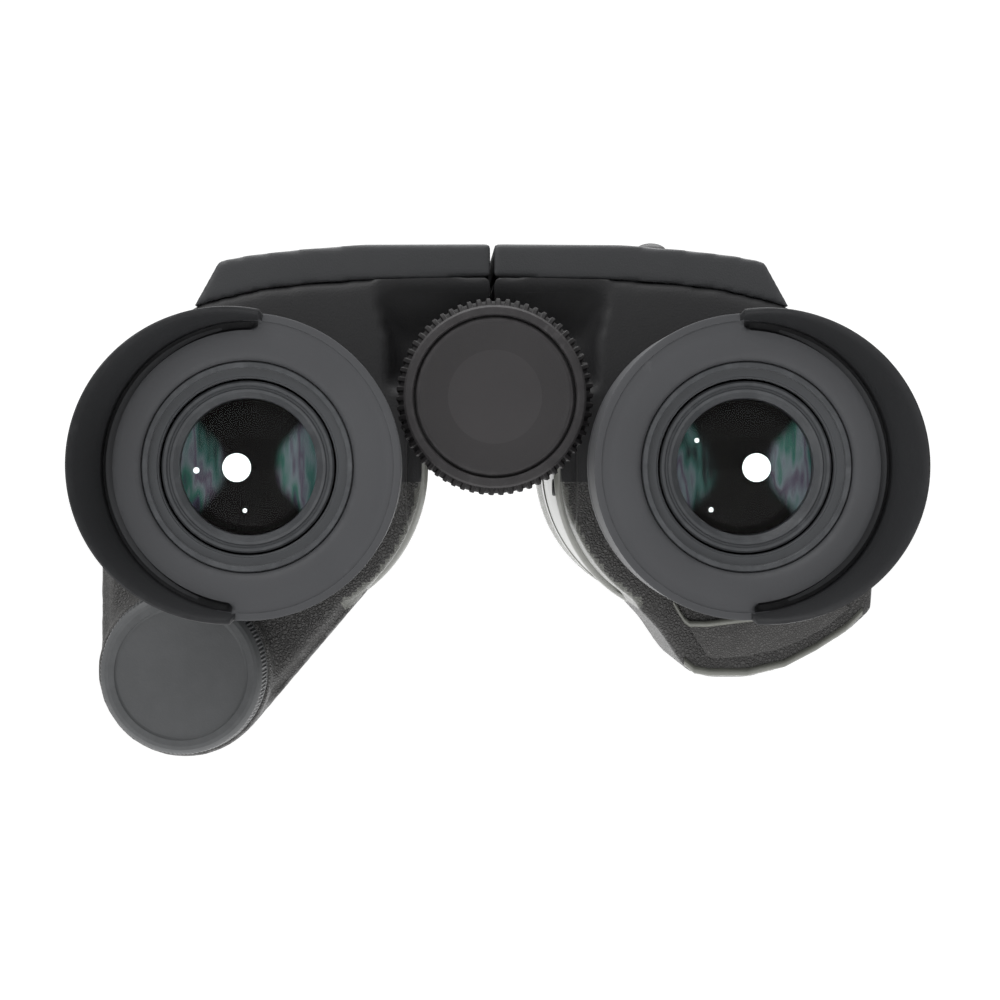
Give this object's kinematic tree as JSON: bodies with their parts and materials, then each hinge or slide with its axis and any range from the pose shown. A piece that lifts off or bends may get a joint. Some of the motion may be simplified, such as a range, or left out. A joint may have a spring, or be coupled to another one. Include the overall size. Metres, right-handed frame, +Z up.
{
  "type": "binoculars",
  "caption": "Folding stabilised binoculars with winged eyecups, centre focus wheel, screw-capped battery housing and a covered top deck.",
  "frame": {"origin": "On the hinge axis, at the mouth of the tripod socket at the hinge's front end", "axes": "+Y points to the objectives, +Z is up and +X is to the user's right"},
  "size_m": [0.1244, 0.1586, 0.0817],
  "materials": {
    "housing": "dark moulded plastic, fine matt texture",
    "cover": "dark moulded plastic, satin",
    "barrel_rubber": "smooth dark rubber armour",
    "grained_rubber": "pebble-grained rubber",
    "black_metal": "anodised matt black",
    "coated_glass": "multi-coated optical glass",
    "ring_plastic": "grey-black hard plastic",
    "board": "green circuit board",
    "steel": "plain steel",
    "bare_aluminium": "machined aluminium",
    "eyecup_rubber": "soft matt rubber",
    "knob_plastic": "near-black plastic",
    "nut_brass": "turned brass",
    "cell_wrap": "plain shrink sleeve",
    "cap_plastic": "smooth grey plastic",
    "seal_rubber": "black seal rubber"
  },
  "bodies": {
    "left_half": {"left_body": "housing", "left_top_cover": "cover", "left_front_barrel": "barrel_rubber", "left_grip": "grained_rubber", "left_objective_cell": "black_metal", "left_objective_lens": "coated_glass", "left_objective_ring": "black_metal", "left_eyepiece_tube": "black_metal", "left_field_lens": "coated_glass", "left_eye_lens": "coated_glass", "left_eye_lens_ring": "ring_plastic", "left_board": "board", "left_screws": "steel", "hinge_bracket": "housing", "hinge_sleeve": "steel", "hinge_pin": "steel", "hinge_cover": "housing", "battery_liner": "bare_aluminium", "battery_cell": "cell_wrap", "battery_spring": "steel"},
    "right_half": {"right_body": "housing", "right_top_cover": "cover", "right_front_barrel": "barrel_rubber", "right_grip": "grained_rubber", "right_objective_cell": "black_metal", "right_objective_lens": "coated_glass", "right_objective_ring": "black_metal", "right_eyepiece_tube": "black_metal", "right_eye_lens": "coated_glass", "right_eye_lens_ring": "ring_plastic", "right_board": "board", "right_screws": "steel"},
    "focus_wheel": {"focus_knob": "knob_plastic", "focus_knob_cap": "knob_plastic", "focus_spindle": "steel"},
    "left_focus": {"focus_nut": "nut_brass", "focus_nut_clip": "steel", "left_focus_carrier": "black_metal", "left_focus_lens": "coated_glass"},
    "right_focus": {"right_focus_carrier": "black_metal", "right_focus_lens": "coated_glass"},
    "left_gimbal": {"left_gimbal_ring": "bare_aluminium"},
    "left_stabiliser": {"left_prism_cage": "black_metal", "left_prisms": "coated_glass"},
    "right_gimbal": {"right_gimbal_ring": "bare_aluminium"},
    "right_stabiliser": {"right_prism_cage": "black_metal", "right_prisms": "coated_glass"},
    "left_eyecup_lift": {"left_eyecup_slide": "ring_plastic"},
    "left_eyecup_turn": {"left_eyecup_sleeve": "ring_plastic", "left_eyecup": "eyecup_rubber"},
    "right_eyecup_lift": {"right_eyecup_slide": "ring_plastic"},
    "right_eyecup_turn": {"right_eyecup_sleeve": "ring_plastic", "right_eyecup": "eyecup_rubber"},
    "dioptre_wheel": {"dioptre_ring": "knob_plastic"},
    "dioptre_slide": {"dioptre_cell": "black_metal", "right_field_lens": "coated_glass"},
    "battery_contact_slide": {"battery_contact": "nut_brass"},
    "battery_cap_turn": {"battery_cap": "cap_plastic", "battery_cap_seal": "seal_rubber"},
    "button": {"power_button": "knob_plastic"}
  },
  "joints": [
    {"name": "fold", "type": "hinge", "parent": "left_half", "child": "right_half", "pos_m": [0, -0.05, 0], "axis": [0, 1, 0], "range_deg": [0, 52]},
    {"name": "focus_turn", "type": "hinge", "parent": "left_half", "child": "focus_wheel", "pos_m": [0, -0.1, 0], "axis": [0, -1, 0], "range_deg": [-270, 270]},
    {"name": "left_focus_travel", "type": "slide", "parent": "left_half", "child": "left_focus", "axis": [0, 1, 0], "range_m": [-0.0025, 0.0025]},
    {"name": "right_focus_travel", "type": "slide", "parent": "right_half", "child": "right_focus", "axis": [0, 1, 0], "range_m": [-0.0025, 0.0025]},
    {"name": "dioptre_turn", "type": "hinge", "parent": "right_half", "child": "dioptre_wheel", "pos_m": [0.0363, -0.098, -0.0106], "axis": [0, -1, 0], "range_deg": [-50, 50]},
    {"name": "dioptre_travel", "type": "slide", "parent": "right_half", "child": "dioptre_slide", "axis": [0, 1, 0], "range_m": [-0.0015, 0.0015]},
    {"name": "battery_cap_unscrew", "type": "hinge", "parent": "battery_contact_slide", "child": "battery_cap_turn", "pos_m": [-0.0481, -0.09, -0.0424], "axis": [0, -1, 0], "range_deg": [0, 1080]},
    {"name": "battery_cap_travel", "type": "slide", "parent": "left_half", "child": "battery_contact_slide", "axis": [0, -1, 0], "range_m": [0, 0.0045]},
    {"name": "button_press", "type": "slide", "parent": "right_half", "child": "button", "axis": [0, 0, -1], "range_m": [0, 0.0012], "stiffness_N_per_m": 800, "springref_m": -0.0003},
    {"name": "left_eyecup_travel", "type": "slide", "parent": "left_half", "child": "left_eyecup_lift", "axis": [0, -1, 0], "range_m": [0, 0.008]},
    {"name": "left_eyecup_twist", "type": "hinge", "parent": "left_eyecup_lift", "child": "left_eyecup_turn", "pos_m": [-0.0363, -0.115, -0.0106], "axis": [0, -1, 0], "range_deg": [0, 90]},
    {"name": "left_gimbal_pitch", "type": "hinge", "parent": "left_half", "child": "left_gimbal", "pos_m": [-0.0363, -0.05, -0.0106], "axis": [1, 0, 0], "range_deg": [-3, 3], "stiffness_Nm_per_rad": 0.5},
    {"name": "left_gimbal_yaw", "type": "hinge", "parent": "left_gimbal", "child": "left_stabiliser", "pos_m": [-0.0363, -0.05, -0.0106], "axis": [0, 0, 1], "range_deg": [-3, 3], "stiffness_Nm_per_rad": 0.5},
    {"name": "right_eyecup_travel", "type": "slide", "parent": "right_half", "child": "right_eyecup_lift", "axis": [0, -1, 0], "range_m": [0, 0.008]},
    {"name": "right_eyecup_twist", "type": "hinge", "parent": "right_eyecup_lift", "child": "right_eyecup_turn", "pos_m": [0.0363, -0.115, -0.0106], "axis": [0, -1, 0], "range_deg": [0, 90]},
    {"name": "right_gimbal_pitch", "type": "hinge", "parent": "right_half", "child": "right_gimbal", "pos_m": [0.0363, -0.05, -0.0106], "axis": [1, 0, 0], "range_deg": [-3, 3], "stiffness_Nm_per_rad": 0.5},
    {"name": "right_gimbal_yaw", "type": "hinge", "parent": "right_gimbal", "child": "right_stabiliser", "pos_m": [0.0363, -0.05, -0.0106], "axis": [0, 0, 1], "range_deg": [-3, 3], "stiffness_Nm_per_rad": 0.5}
  ],
  "couplings": [
    {"joint": "focus_turn", "follows": "left_focus_travel", "rad_per_m": 1880},
    {"joint": "right_focus_travel", "follows": "left_focus_travel", "ratio": 1},
    {"joint": "dioptre_turn", "follows": "dioptre_travel", "rad_per_m": 581.5},
    {"joint": "battery_cap_unscrew", "follows": "battery_cap_travel", "rad_per_m": 4186},
    {"joint": "left_eyecup_twist", "follows": "left_eyecup_travel", "rad_per_m": 196.2},
    {"joint": "right_eyecup_twist", "follows": "right_eyecup_travel", "rad_per_m": 196.2}
  ]
}
